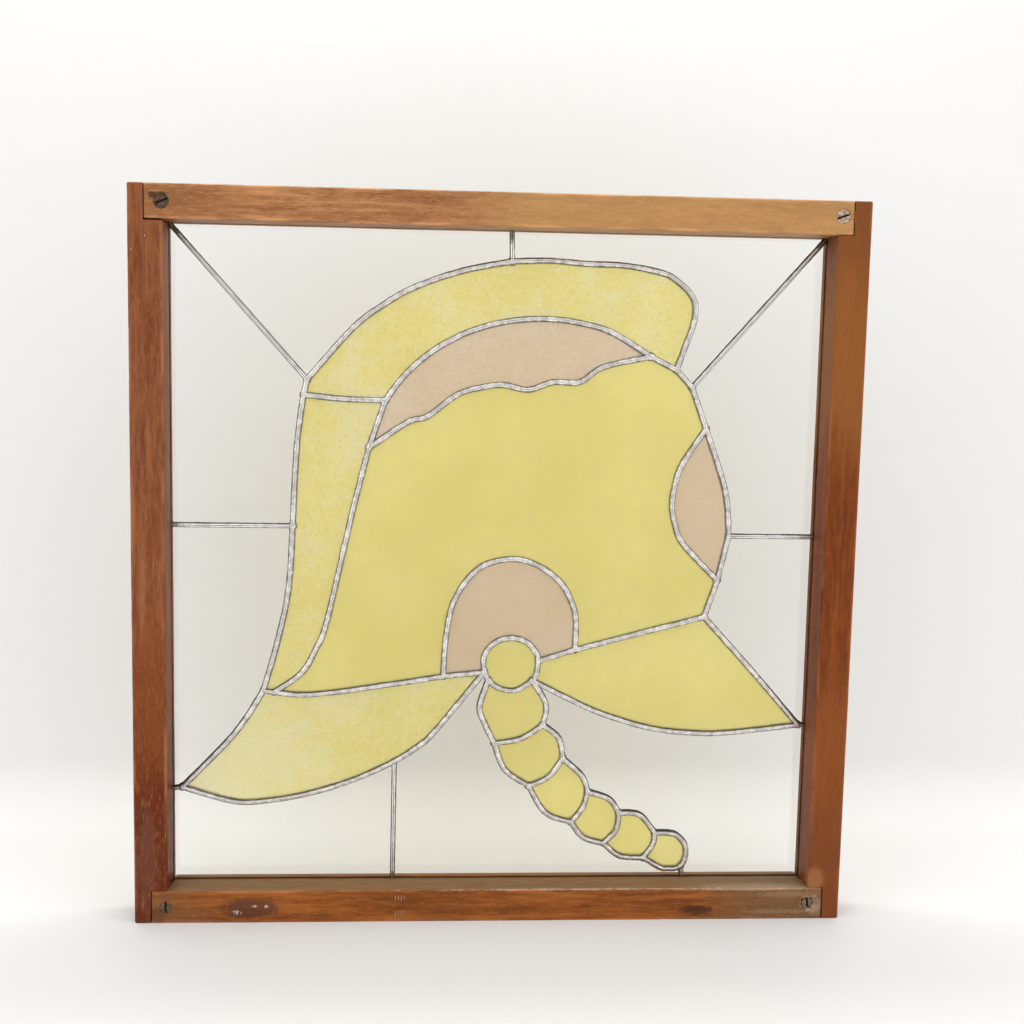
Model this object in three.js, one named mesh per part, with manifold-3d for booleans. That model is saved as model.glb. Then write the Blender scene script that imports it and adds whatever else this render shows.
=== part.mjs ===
import * as THREE from "three";
import { mergeVertices } from "three/addons/utils/BufferGeometryUtils.js";
import Module from "manifold-3d";

// A small stained glass window: a fire helmet in coloured glass, held by soldered seams in a
// screwed timber frame. Millimetres, x to the right, y from front to back, z up.

const wasm = await Module();
wasm.setup();

// Timber frame
const frameWidth = 500;
const frameHeight = 507;
const frameDepth = 32;
const stileWidth = 23;
const railWidth = 23;
const easedEdge = 0.8;

// Corner laps: the rail's tongue lies in the front of the stile and stops at a strip of it.
// They were cut by hand, so each has its own strip, and its own gap along the tongue's edge.
const laps = {
  topLeft: { strip: 10.4, edgeGap: 1.2 },
  topRight: { strip: 12, edgeGap: 0.4 },
  bottomLeft: { strip: 11.2, edgeGap: 0.3 },
  bottomRight: { strip: 12, edgeGap: 0.3 },
};
const tongueEndGap = 0.4;
const jointGap = 0.3;

// Glass panel in its groove
const glassThickness = 3;
const woodBehindGlass = 6.5;
const glassInGroove = 5;
const grooveGap = 0.6;

// Soldered seams: a rounded bead on each face, joined by a web between the glass edges
const beadWidth = 4.3;
const straightBeadWidth = 3.6;
const frontBeadHeight = 1.5;
const backBeadHeight = 1.1;
const beadSink = 0.1;
const shoulderAcross = 0.68;
const shoulderRise = 0.74;
const webWidth = 1;
const webLap = 0.3;
const glassGap = 0.3;
const beadToFrameGap = 0.3;

// About how far a straight facet may stray from its curve, and the most it may turn from the next
const curveTolerance = 0.5;
const facetTurn = THREE.MathUtils.degToRad(22);

// Screws, one through each corner lap
const screwShank = 3.6;
const screwSlotWidth = 1.5;
const screwSlotDepth = 1.2;
const screwSunk = 0.5;
const screwRim = 0.4;
const screwGap = 0.3;
const woodBehindScrew = 7;
const screwSides = 12;
const screws = [
  { name: "screw_top_left", side: -1, top: true, intoStile: 0.7, aboveMiddle: -0.2, head: 9.6, slotTurn: 22 },
  { name: "screw_top_right", side: 1, top: true, intoStile: 3.2, aboveMiddle: 0.9, head: 9.4, slotTurn: 20 },
  { name: "screw_bottom_left", side: -1, top: false, intoStile: 1.7, aboveMiddle: -0.1, head: 7.6, slotTurn: 90 },
  { name: "screw_bottom_right", side: 1, top: false, intoStile: 0.2, aboveMiddle: -0.1, head: 7.4, slotTurn: 96 },
];

const sightWidth = frameWidth - 2 * stileWidth;
const sightHeight = frameHeight - 2 * railWidth;
const glassCentreY = frameDepth / 2 - woodBehindGlass - glassThickness / 2;

// The round boss at the helmet's side, where the brow, the chain and the peak meet
const boss = { x: 11.7, z: 157.3, halfWidth: 20, halfHeight: 19 };
const bossJoints = { right: 8, left: 198, lowerLeft: 218, lowerRight: 322 };

function onBoss(degrees) {
  const angle = THREE.MathUtils.degToRad(degrees);
  return [boss.x + boss.halfWidth * Math.cos(angle), boss.z + boss.halfHeight * Math.sin(angle)];
}

// Where seams meet, in millimetres from the middle of the drawing's lower edge
const at = {
  combBack: [-133.5, 357],
  stripTop: [-136, 346.5],
  stripFront: [-79.5, 343.5],
  crestTail: [-90.5, 310.5],
  combTop: [7, 440.5],
  crestFront: [105.5, 377],
  combFront: [124, 368],
  browTop: [135.5, 356],
  crescentTop: [146.5, 327],
  browSide: [165.5, 251],
  crescentFoot: [158.5, 219],
  peakCorner: [150, 192.5],
  peakTip: [222, 113.5],
  archRight: [57.5, 168],
  archLeft: [-36.5, 148.5],
  shellFoot: [-156, 136.5],
  guardTop: [-163.5, 137.5],
  guardTip: [-220.5, 67.5],
  guardUnder: [-70.5, 86],
  backSide: [-143.2, 255],
  bossRight: onBoss(bossJoints.right),
  bossLeft: onBoss(bossJoints.left),
  bossLowerLeft: onBoss(bossJoints.lowerLeft),
  bossLowerRight: onBoss(bossJoints.lowerRight),
  link12Left: [1, 99.5],
  link12Right: [35.7, 113],
  link23Left: [26.5, 68],
  link23Right: [50.7, 88.3],
  link34Left: [58, 41],
  link34Right: [69.5, 63.3],
  link45Left: [82, 25],
  link45Right: [92.7, 47.7],
  link56Left: [111.7, 14],
  link56Right: [119.5, 32.5],
  chainEnd: [139.5, 7.5],
  cornerTopLeft: [-227, 461],
  cornerTopRight: [227, 461],
  edgeTop: [6.5, 461],
  edgeLeft: [-227, 255],
  edgeRight: [227, 251],
  edgeBottom: [-71, 0],
  edgeAtGuard: [-227, 66.5],
  edgeAtPeak: [227, 113],
  edgeAtChain: [140.5, 0],
};

// The drawing fills the frame's opening whatever that measures
const drawingWidth = at.cornerTopRight[0] - at.cornerTopLeft[0];
const drawingHeight = at.cornerTopLeft[1];

function onPanel([x, z]) {
  return new THREE.Vector2((x * sightWidth) / drawingWidth, (z * sightHeight) / drawingHeight);
}

// Curved seams, each through the points that its shape needs
const curvedSeams = [
  ["combBack", [-103, 392], [-60, 421.5], "combTop", [58, 440], [113, 434.5], [135.5, 414], "combFront"],
  ["combBack", "stripTop", [-140.5, 310], "backSide", [-146, 210], [-154, 171], "guardTop", [-190, 99], "guardTip"],
  ["stripTop", [-108, 344], "stripFront"],
  ["crestTail", "stripFront", [-50, 376], [-10, 396], [36, 401.5], [78, 393], "crestFront", "combFront",
    "browTop", "crescentTop", [160, 290], "browSide", "crescentFoot", "peakCorner"],
  ["crestTail", [-64, 328.5], [-50, 333], [-30, 348], [2, 355.5], [20, 352.5], [37, 358], [56, 358.5],
    [72, 369], "crestFront"],
  ["crestTail", [-102, 264], [-119, 188], [-137, 150], "shellFoot"],
  ["guardTop", "shellFoot", [-128, 135], [-70, 143], "archLeft", "bossLeft"],
  ["archLeft", [-31.5, 197], [-12, 226.5], [18, 232.5], [46, 216.5], [57.5, 191], "archRight"],
  ["crescentTop", [131, 303], [124, 273], [133, 245], "crescentFoot"],
  ["bossRight", "archRight", [104, 180.5], "peakCorner"],
  ["peakCorner", [188, 151.5], "peakTip"],
  ["bossLowerRight", [66, 126.5], [116, 110.5], [168, 107.5], "peakTip"],
  ["guardTip", [-184, 57], [-130, 63], "guardUnder", [-42, 108], "bossLeft"],
  ["bossLowerLeft", [-10, 126], "link12Left"],
  ["link12Left", [9, 80], "link23Left"],
  ["link23Left", [39, 48], "link34Left"],
  ["link34Left", [67, 29.5], "link45Left"],
  ["link45Left", [94, 15.5], "link56Left"],
  ["link56Left", [124, 6.5], "chainEnd", [142.5, 22], [134, 31.5], "link56Right"],
  ["bossLowerRight", [37.5, 128], "link12Right"],
  ["link12Right", [47.5, 103], "link23Right"],
  ["link23Right", [65, 75], "link34Right"],
  ["link34Right", [85, 58], "link45Right"],
  ["link45Right", [108, 46], "link56Right"],
  ["link12Left", [20, 103], "link12Right"],
  ["link23Left", [41, 75], "link23Right"],
  ["link34Left", [66, 51.5], "link34Right"],
  ["link45Left", [91, 35], "link45Right"],
  ["link56Left", [118.5, 24], "link56Right"],
];

// Straight seams, from the figure out to the edge of the panel
const straightSeams = [
  ["combBack", "cornerTopLeft"],
  ["browTop", "cornerTopRight"],
  ["combTop", "edgeTop"],
  ["backSide", "edgeLeft"],
  ["browSide", "edgeRight"],
  ["guardUnder", "edgeBottom"],
  ["guardTip", "edgeAtGuard"],
  ["peakTip", "edgeAtPeak"],
  ["chainEnd", "edgeAtChain"],
];

// Glass pieces, each with a point that lies on it, as the pieces of a drawing are numbered
const glassPieces = [
  { name: "glass_clear_left_upper", on: [-185, 327], glass: "clear" },
  { name: "glass_clear_top_left", on: [-100, 442], glass: "clear" },
  { name: "glass_clear_top_right", on: [160, 442], glass: "clear" },
  { name: "glass_clear_right_upper", on: [200, 327], glass: "clear" },
  { name: "glass_clear_right_lower", on: [200, 197], glass: "clear" },
  { name: "glass_clear_bottom_right", on: [190, 57], glass: "clear" },
  { name: "glass_clear_bottom_middle", on: [-30, 37], glass: "clear" },
  { name: "glass_clear_bottom_left", on: [-150, 27], glass: "clear" },
  { name: "glass_clear_left_lower", on: [-200, 177], glass: "clear" },
  { name: "glass_comb", on: [0, 418], glass: "yellow" },
  { name: "glass_back_strip", on: [-120, 277], glass: "yellow" },
  { name: "glass_shell", on: [40, 297], glass: "yellow" },
  { name: "glass_neck_guard", on: [-120, 97], glass: "yellow" },
  { name: "glass_front_peak", on: [140, 142], glass: "yellow" },
  { name: "glass_boss", on: [boss.x, boss.z], glass: "yellow" },
  { name: "glass_chain_link_1", on: [13, 122], glass: "yellow" },
  { name: "glass_chain_link_2", on: [26, 89], glass: "yellow" },
  { name: "glass_chain_link_3", on: [52, 63], glass: "yellow" },
  { name: "glass_chain_link_4", on: [77, 42], glass: "yellow" },
  { name: "glass_chain_link_5", on: [104, 30], glass: "yellow" },
  { name: "glass_chain_link_6", on: [130, 18], glass: "yellow" },
  { name: "glass_crest", on: [20, 377], glass: "pink" },
  { name: "glass_crescent", on: [145, 272], glass: "pink" },
  { name: "glass_arch", on: [12, 202], glass: "pink" },
];

// Joining and cutting

function solidFrom(geometry) {
  const bare = geometry.index ? geometry.toNonIndexed() : geometry.clone();
  bare.deleteAttribute("normal");
  bare.deleteAttribute("uv");
  const merged = mergeVertices(bare);
  const mesh = new wasm.Mesh({
    numProp: 3,
    vertProperties: Float32Array.from(merged.attributes.position.array),
    triVerts: Uint32Array.from(merged.index.array),
  });
  return new wasm.Manifold(mesh);
}

function geometryFrom(solid) {
  const mesh = solid.getMesh();
  const indexed = new THREE.BufferGeometry();
  indexed.setAttribute("position", new THREE.BufferAttribute(Float32Array.from(mesh.vertProperties), 3));
  indexed.setIndex(new THREE.BufferAttribute(Uint32Array.from(mesh.triVerts), 1));
  const geometry = indexed.toNonIndexed();
  geometry.computeVertexNormals();
  return geometry;
}

function joined(solids) {
  return solids.reduce((whole, solid) => whole.add(solid));
}

function box(x0, x1, y0, y1, z0, z1) {
  const geometry = new THREE.BoxGeometry(x1 - x0, y1 - y0, z1 - z0);
  geometry.translate((x0 + x1) / 2, (y0 + y1) / 2, (z0 + z1) / 2);
  return solidFrom(geometry);
}

// A box with every edge eased by a small flat
function easedBox(x0, x1, y0, y1, z0, z1) {
  const e = easedEdge;
  const face = new THREE.Shape([
    new THREE.Vector2(x0 + e, z0),
    new THREE.Vector2(x1 - e, z0),
    new THREE.Vector2(x1, z0 + e),
    new THREE.Vector2(x1, z1 - e),
    new THREE.Vector2(x1 - e, z1),
    new THREE.Vector2(x0 + e, z1),
    new THREE.Vector2(x0, z1 - e),
    new THREE.Vector2(x0, z0 + e),
  ]);
  const geometry = new THREE.ExtrudeGeometry(face, {
    depth: y1 - y0 - 2 * e,
    bevelThickness: e,
    bevelSize: e,
    bevelOffset: -e,
    bevelSegments: 1,
  });
  geometry.rotateX(Math.PI / 2);
  geometry.translate(0, y1 - e, 0);
  return solidFrom(geometry);
}

// Seam lines

// The points of a curved seam, with few enough facets to stay near the tolerance
function curvedPath(stops) {
  const points = stops.map((stop) => onPanel(typeof stop === "string" ? at[stop] : stop));
  const flat = points.map((point) => new THREE.Vector3(point.x, point.y, 0));
  const curve = new THREE.CatmullRomCurve3(flat, false, "centripetal");
  const spans = points.length - 1;
  const path = [points[0]];
  for (let span = 0; span < spans; span += 1) {
    const length = points[span].distanceTo(points[span + 1]);
    const turn = curve.getTangent(span / spans).angleTo(curve.getTangent((span + 1) / spans));
    const byTolerance = Math.round(Math.sqrt((length * turn) / (8 * curveTolerance)));
    const facets = Math.max(1, byTolerance, Math.ceil(turn / facetTurn));
    for (let facet = 1; facet < facets; facet += 1) {
      const point = curve.getPoint((span + facet / facets) / spans);
      path.push(new THREE.Vector2(point.x, point.y));
    }
    path.push(points[span + 1]);
  }
  return path;
}

// The ring round the boss, with a corner wherever another seam meets it
function bossPath() {
  const facets = Math.ceil(Math.PI / Math.acos(1 - curveTolerance / boss.halfWidth));
  const shared = Object.values(bossJoints);
  const turns = Array.from({ length: facets }, (_, facet) => (360 * facet) / facets);
  const near = 180 / facets;
  const kept = turns.filter((turn) => shared.every((degrees) => Math.abs(turn - degrees) > near));
  const ordered = [...kept, ...shared].sort((a, b) => a - b);
  return ordered.map((degrees) => onPanel(onBoss(degrees)));
}

const seams = [
  ...curvedSeams.map((stops) => ({ path: curvedPath(stops), width: beadWidth })),
  ...straightSeams.map((stops) => ({ path: curvedPath(stops), width: straightBeadWidth, toEdge: true })),
  { path: bossPath(), width: beadWidth, closed: true },
];

// A path with its last point moved on
function runOn(path, reach) {
  const end = path[path.length - 1];
  const direction = end.clone().sub(path[path.length - 2]).normalize();
  return [...path.slice(0, -1), end.clone().addScaledVector(direction, reach)];
}

// Far enough from the opening's edge to be past the glass
const pastGlass = 2 * (glassInGroove + grooveGap);

// A bar along a flat path. The section lists its points as [to the side, to the back],
// counter-clockwise, and its corners are mitred.
function sweep(path, section, closed = false) {
  const count = path.length;
  const sides = section.length;
  const positions = [];
  path.forEach((point, i) => {
    const before = path[closed ? (i + count - 1) % count : Math.max(i - 1, 0)];
    const after = path[closed ? (i + 1) % count : Math.min(i + 1, count - 1)];
    const into = point.clone().sub(before).normalize();
    const out = after.clone().sub(point).normalize();
    const first = i === 0 && !closed ? out : into;
    const last = i === count - 1 && !closed ? into : out;
    const spread = 1 + first.dot(last);
    const side = new THREE.Vector2(-(first.y + last.y) / spread, (first.x + last.x) / spread);
    section.forEach(([across, back]) => {
      positions.push(point.x + side.x * across, back, point.y + side.y * across);
    });
  });
  const index = [];
  const rings = closed ? count : count - 1;
  for (let ring = 0; ring < rings; ring += 1) {
    const here = ring * sides;
    const next = ((ring + 1) % count) * sides;
    for (let i = 0; i < sides; i += 1) {
      const j = (i + 1) % sides;
      index.push(here + i, next + i, next + j, here + i, next + j, here + j);
    }
  }
  if (!closed) {
    const outline = section.map(([across, back]) => new THREE.Vector2(across, back));
    const end = (count - 1) * sides;
    THREE.ShapeUtils.triangulateShape(outline, []).forEach(([a, b, c]) => {
      index.push(a, b, c, end + a, end + c, end + b);
    });
  }
  const geometry = new THREE.BufferGeometry();
  geometry.setAttribute("position", new THREE.Float32BufferAttribute(positions, 3));
  geometry.setIndex(index);
  return solidFrom(geometry);
}

// The glass panel, around the middle of the glass and up from the opening's lower edge

const slabHalf = glassThickness / 2 + glassGap;
const sheetLeft = -sightWidth / 2 - glassInGroove;
const sheetRight = sightWidth / 2 + glassInGroove;
const sheetBottom = -glassInGroove;
const sheetTop = sightHeight + glassInGroove;

// Both beads and all that lies between them. The widest points sit a little inside the glass.
function beadSection(width) {
  const half = width / 2;
  const shoulder = shoulderAcross * half;
  const rise = shoulderRise * frontBeadHeight;
  return [
    [-half, -slabHalf + beadSink],
    [-shoulder, -slabHalf - rise],
    [0, -slabHalf - frontBeadHeight],
    [shoulder, -slabHalf - rise],
    [half, -slabHalf + beadSink],
    [half, slabHalf - beadSink],
    [0, slabHalf + backBeadHeight],
    [-half, slabHalf - beadSink],
  ];
}

// A seam's path, with both ends lapped into the seams that they meet
function lapped({ path, toEdge, closed }) {
  if (closed) return path;
  const lappedStart = runOn([...path].reverse(), webLap).reverse();
  return runOn(lappedStart, toEdge ? pastGlass : webLap);
}

// Webs of one width and thickness along every seam, run on past the edge of the glass
function webs(width, thickness) {
  const section = [
    [-width / 2, -thickness / 2],
    [width / 2, -thickness / 2],
    [width / 2, thickness / 2],
    [-width / 2, thickness / 2],
  ];
  return joined(seams.map((seam) => sweep(lapped(seam), section, seam.closed)));
}

function solderLattice() {
  const through = 4 * slabHalf;
  const opening = box(
    -sightWidth / 2 + beadToFrameGap,
    sightWidth / 2 - beadToFrameGap,
    -through,
    through,
    beadToFrameGap,
    sightHeight - beadToFrameGap,
  );
  const beads = joined(
    seams.map(({ path, width, toEdge, closed }) => {
      return sweep(toEdge ? runOn(path, pastGlass) : path, beadSection(width), closed);
    }),
  );
  const slab = box(
    sheetLeft - glassInGroove,
    sheetRight + glassInGroove,
    -slabHalf,
    slabHalf,
    sheetBottom - glassInGroove,
    sheetTop + glassInGroove,
  );
  const sheet = box(sheetLeft, sheetRight, -slabHalf, slabHalf, sheetBottom, sheetTop);
  const glassRoom = slab.subtract(webs(webWidth, through));
  const runOuts = webs(webWidth, glassThickness).intersect(sheet);
  return beads.intersect(opening).subtract(glassRoom).add(runOuts);
}

function cutGlass() {
  const sheet = box(
    sheetLeft,
    sheetRight,
    -glassThickness / 2,
    glassThickness / 2,
    sheetBottom,
    sheetTop,
  );
  return sheet.subtract(webs(webWidth + 2 * glassGap, 2 * glassThickness)).decompose();
}

// The piece of glass that a point of the drawing lies on
function pieceAt(pieces, point) {
  const { x, y: z } = onPanel(point);
  const r = webWidth / 2;
  const probe = box(x - r, x + r, -glassThickness, glassThickness, z - r, z + r);
  const found = pieces.find((piece) => !piece.intersect(probe).isEmpty());
  if (!found) throw new Error(`no glass at ${point}`);
  return found;
}

// Timber

const halfWidth = frameWidth / 2;
const halfDepth = frameDepth / 2;
const tongueThickness = halfDepth;
const railShoulder = sightWidth / 2 - jointGap;

// The room that the whole panel needs in the frame
function groove() {
  const reach = glassInGroove + grooveGap;
  return box(
    -sightWidth / 2 - reach,
    sightWidth / 2 + reach,
    glassCentreY - glassThickness / 2 - grooveGap,
    glassCentreY + glassThickness / 2 + grooveGap,
    railWidth - reach,
    frameHeight - railWidth + reach,
  );
}

function stile(side, topLap, bottomLap) {
  const inner = side * (halfWidth - stileWidth);
  const outer = side * halfWidth;
  const bar = easedBox(Math.min(inner, outer), Math.max(inner, outer), -halfDepth, halfDepth, 0, frameHeight);
  const beyond = side * (halfWidth - 2 * stileWidth);
  const back = -halfDepth + tongueThickness + jointGap;
  const housing = (lap, z0, z1) => {
    const strip = side * (halfWidth - lap.strip);
    return box(Math.min(strip, beyond), Math.max(strip, beyond), -frameDepth, back, z0, z1);
  };
  const underTongue = frameHeight - railWidth - topLap.edgeGap;
  const overTongue = railWidth + bottomLap.edgeGap;
  return bar
    .subtract(housing(topLap, underTongue, 2 * frameHeight))
    .subtract(housing(bottomLap, -frameHeight, overTongue));
}

function rail(z0, leftLap, rightLap) {
  const z1 = z0 + railWidth;
  const left = -halfWidth + leftLap.strip + tongueEndGap;
  const right = halfWidth - rightLap.strip - tongueEndGap;
  const tongues = easedBox(left, right, -halfDepth, -halfDepth + tongueThickness, z0, z1);
  const body = easedBox(-railShoulder, railShoulder, -halfDepth, halfDepth, z0, z1);
  return tongues.add(body);
}

// Screws

function screwPlace({ side, top, intoStile, aboveMiddle }) {
  const railMiddle = top ? frameHeight - railWidth / 2 : railWidth / 2;
  return new THREE.Vector3(
    side * (sightWidth / 2 + intoStile),
    -halfDepth + screwSunk,
    railMiddle + aboveMiddle,
  );
}

// A countersunk screw, grown by a gap all round and run on in front of its head
function screwBody({ head }, gap, inFront) {
  const length = frameDepth - woodBehindScrew - screwSunk;
  const cone = (head - screwShank) / 2;
  const profile = [
    new THREE.Vector2(0, -length - gap),
    new THREE.Vector2(screwShank / 2 + gap, -length + screwShank),
    new THREE.Vector2(screwShank / 2 + gap, -screwRim - cone),
    new THREE.Vector2(head / 2 + gap, -screwRim),
    new THREE.Vector2(head / 2 + gap, inFront),
    new THREE.Vector2(0, inFront),
  ];
  const geometry = new THREE.LatheGeometry(profile, screwSides);
  geometry.rotateX(Math.PI);
  return solidFrom(geometry);
}

function screw(row) {
  const slot = new THREE.BoxGeometry(2 * row.head, 2 * screwSlotDepth, screwSlotWidth);
  slot.rotateY(-THREE.MathUtils.degToRad(row.slotTurn));
  return screwBody(row, 0, 0).subtract(solidFrom(slot));
}

function screwHole(row) {
  const { x, y, z } = screwPlace(row);
  return screwBody(row, screwGap, frameDepth).translate([x, y, z]);
}

// The scene

const looks = {
  stile: { color: 0x7a4228, roughness: 0.55, metalness: 0 },
  rail: { color: 0x95603a, roughness: 0.55, metalness: 0 },
  screw: { color: 0x6f6152, roughness: 0.45, metalness: 0.9 },
  solder: { color: 0xb4b4b2, roughness: 0.35, metalness: 0.9 },
  clear: { color: 0xe6ebe6, roughness: 0.05, metalness: 0, transparent: true, opacity: 0.35 },
  yellow: { color: 0xe3d672, roughness: 0.12, metalness: 0, transparent: true, opacity: 0.9 },
  pink: { color: 0xcdb09c, roughness: 0.12, metalness: 0, transparent: true, opacity: 0.9 },
};

function named(name, solid, look) {
  const mesh = new THREE.Mesh(geometryFrom(solid), new THREE.MeshStandardMaterial(looks[look]));
  mesh.name = name;
  return mesh;
}

const timber = new THREE.Group();
const cuts = joined([groove(), ...screws.map(screwHole)]);
const stileLeft = stile(-1, laps.topLeft, laps.bottomLeft);
const stileRight = stile(1, laps.topRight, laps.bottomRight);
const railBottom = rail(0, laps.bottomLeft, laps.bottomRight);
const railTop = rail(frameHeight - railWidth, laps.topLeft, laps.topRight);
timber.add(named("stile_left", stileLeft.subtract(cuts), "stile"));
timber.add(named("stile_right", stileRight.subtract(cuts), "stile"));
timber.add(named("rail_bottom", railBottom.subtract(cuts), "rail"));
timber.add(named("rail_top", railTop.subtract(cuts), "rail"));
for (const row of screws) {
  const mesh = named(row.name, screw(row), "screw");
  mesh.position.copy(screwPlace(row));
  timber.add(mesh);
}

const panel = new THREE.Group();
panel.position.set(0, glassCentreY, railWidth);
panel.add(named("solder_lattice", solderLattice(), "solder"));
const pieces = cutGlass();
for (const { name, on, glass } of glassPieces) {
  panel.add(named(name, pieceAt(pieces, on), glass));
}

const group = new THREE.Group();
group.add(timber, panel);

export default group;
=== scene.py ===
"""Looks of a small stained glass window: a fire helmet in coloured glass, soldered seams on both
faces and a screwed timber frame. Every size is in metres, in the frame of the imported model."""

import math

import bmesh
import bpy
import numpy as np
from bpy.props import FloatProperty, FloatVectorProperty, IntProperty, PointerProperty
from mathutils import Euler, Matrix, Vector


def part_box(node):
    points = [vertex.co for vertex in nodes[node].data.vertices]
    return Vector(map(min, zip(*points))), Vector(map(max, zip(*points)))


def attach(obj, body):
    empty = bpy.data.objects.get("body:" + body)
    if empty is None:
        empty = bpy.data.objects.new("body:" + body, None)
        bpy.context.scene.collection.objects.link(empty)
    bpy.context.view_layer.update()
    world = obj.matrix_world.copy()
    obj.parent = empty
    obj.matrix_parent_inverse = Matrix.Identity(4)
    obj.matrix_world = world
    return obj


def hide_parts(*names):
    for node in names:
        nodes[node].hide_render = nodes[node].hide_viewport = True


bl_info = {
    "name": "Stained Glass Window",
    "version": (1, 0, 0),
    "blender": (4, 5, 0),
    "location": "View3D > Sidebar > Window",
    "description": "Builds the seams, glass, timber and screws of a stained glass window",
    "category": "Add Mesh",
}

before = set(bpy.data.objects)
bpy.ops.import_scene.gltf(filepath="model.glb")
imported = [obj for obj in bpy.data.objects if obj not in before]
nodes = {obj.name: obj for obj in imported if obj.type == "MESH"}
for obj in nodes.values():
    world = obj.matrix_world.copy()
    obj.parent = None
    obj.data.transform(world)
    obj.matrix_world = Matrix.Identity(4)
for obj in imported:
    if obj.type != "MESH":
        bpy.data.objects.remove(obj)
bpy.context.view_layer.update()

MM = 0.001
FRONT = min(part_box("rail_top")[0][1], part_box("stile_left")[0][1])
GLASS_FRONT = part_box("glass_shell")[0][1]
GLASS_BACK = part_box("glass_shell")[1][1]
SIGHT_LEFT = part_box("stile_left")[1][0]
SIGHT_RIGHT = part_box("stile_right")[0][0]
SIGHT_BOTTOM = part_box("rail_bottom")[1][2]
SIGHT_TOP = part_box("rail_top")[0][2]

# What the seams and screws share with the solids
WEB_HALF_WIDTH = 0.5 * MM
SCREW_SHANK = 3.6 * MM
SCREW_SLOT_WIDTH = 1.5 * MM
SCREW_SLOT_DEPTH = 1.2 * MM


# Settings that a user would change


class WindowSizes(bpy.types.PropertyGroup):
    seam_width: FloatProperty(
        name="Seam width", description="Width of the beads on the curved seams",
        default=4.0 * MM, min=2 * MM, max=8 * MM, unit="LENGTH",
    )
    straight_seam_width: FloatProperty(
        name="Straight seam width", description="Width of the beads on the seams out to the frame",
        default=3.2 * MM, min=2 * MM, max=8 * MM, unit="LENGTH",
    )
    seam_swell: FloatProperty(
        name="Seam swell", description="How far the width of a bead wanders from its mean",
        default=0.16, min=0, max=0.6, subtype="FACTOR",
    )
    hammer_depth: FloatProperty(
        name="Ripple depth", description="Depth of the ripples left in the cooled solder",
        default=0.22 * MM, min=0, max=1 * MM, unit="LENGTH",
    )
    seam_step: FloatProperty(
        name="Seam step", description="Distance from one ring of a bead to the next",
        default=1.05 * MM, min=0.4 * MM, max=4 * MM, unit="LENGTH",
    )
    timber_depth: IntProperty(
        name="Timber detail", description="How often the timber is halved for the faces that carry its wear",
        default=9, min=6, max=9,
    )
    dent_depth: FloatProperty(
        name="Dent depth", description="Depth of the knocks along the timber's edges",
        default=0.9 * MM, min=0, max=2 * MM, unit="LENGTH",
    )
    screw_sides: IntProperty(
        name="Screw sides", description="Sides of a screw head", default=48, min=12, max=96,
    )


def colour_property(name, description, value):
    return FloatVectorProperty(
        name=name, description=description, default=value, min=0, max=1, size=3, subtype="COLOR",
    )


class WindowColours(bpy.types.PropertyGroup):
    yellow: colour_property("Yellow glass", "Colour that the yellow glass lets through", (1.0, 0.905, 0.345))
    pink: colour_property("Pink glass", "Colour that the pink glass lets through", (0.9, 0.73, 0.54))
    clear: colour_property("Clear glass", "Colour that the clear glass lets through", (0.985, 0.985, 0.97))
    solder: colour_property("Solder", "Colour of bright solder", (0.73, 0.7, 0.66))
    top_rail: colour_property("Top rail", "Light tone of the top rail", (0.45, 0.203, 0.081))
    bottom_rail: colour_property("Bottom rail", "Light tone of the bottom rail", (0.32, 0.097, 0.019))
    left_stile: colour_property("Left stile", "Light tone of the left stile", (0.27, 0.088, 0.031))
    right_stile: colour_property("Right stile", "Light tone of the right stile", (0.215, 0.052, 0.008))
    floor: colour_property("Cloth", "Colour of the floor and backdrop", (0.86, 0.855, 0.85))


# Node trees


def add_node(tree, kind, inputs=None, **settings):
    """A node with its settings, and its inputs set to values or linked to other nodes."""
    node = tree.nodes.new(kind)
    for name, value in settings.items():
        setattr(node, name, value)
    for key, value in (inputs or {}).items():
        socket = node.inputs[key]
        if isinstance(value, bpy.types.Node):
            value = value.outputs[0]
        if isinstance(value, bpy.types.NodeSocket):
            tree.links.new(value, socket)
        else:
            socket.default_value = value
    return node


def maths(tree, operation, *values, clamp=False):
    inputs = dict(enumerate(values))
    return add_node(tree, "ShaderNodeMath", inputs, operation=operation, use_clamp=clamp)


def vector_maths(tree, operation, *values):
    return add_node(tree, "ShaderNodeVectorMath", dict(enumerate(values)), operation=operation)


def ramp(tree, value, low, high, to_low=0.0, to_high=1.0):
    inputs = {"Value": value, "From Min": low, "From Max": high, "To Min": to_low, "To Max": to_high}
    return add_node(tree, "ShaderNodeMapRange", inputs, interpolation_type="SMOOTHSTEP")


def blended(tree, factor, first, second, blend_type="MIX"):
    """Two colours mixed. The output is the mix node's colour."""
    node = add_node(tree, "ShaderNodeMix", data_type="RGBA", blend_type=blend_type)
    for socket, value in zip((node.inputs[0], node.inputs[6], node.inputs[7]), (factor, first, second)):
        if isinstance(value, bpy.types.Node):
            value = value.outputs[0]
        if isinstance(value, bpy.types.NodeSocket):
            tree.links.new(value, socket)
        else:
            socket.default_value = value if isinstance(value, float) else (*value[:3], 1.0)
    return node.outputs[2]


def noise_at(tree, coords, scale, detail=3.0, roughness=0.5, distortion=0.0):
    inputs = {"Vector": coords, "Scale": scale, "Detail": detail, "Roughness": roughness,
              "Distortion": distortion}
    return add_node(tree, "ShaderNodeTexNoise", inputs).outputs[0]


def start_material(name):
    """A new material with its shader, and the object coordinates that its patterns follow."""
    material = bpy.data.materials.new(name)
    material.use_nodes = True
    tree = material.node_tree
    shader = tree.nodes["Principled BSDF"]
    coords = add_node(tree, "ShaderNodeTexCoord").outputs["Object"]
    return material, tree, shader, coords


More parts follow.
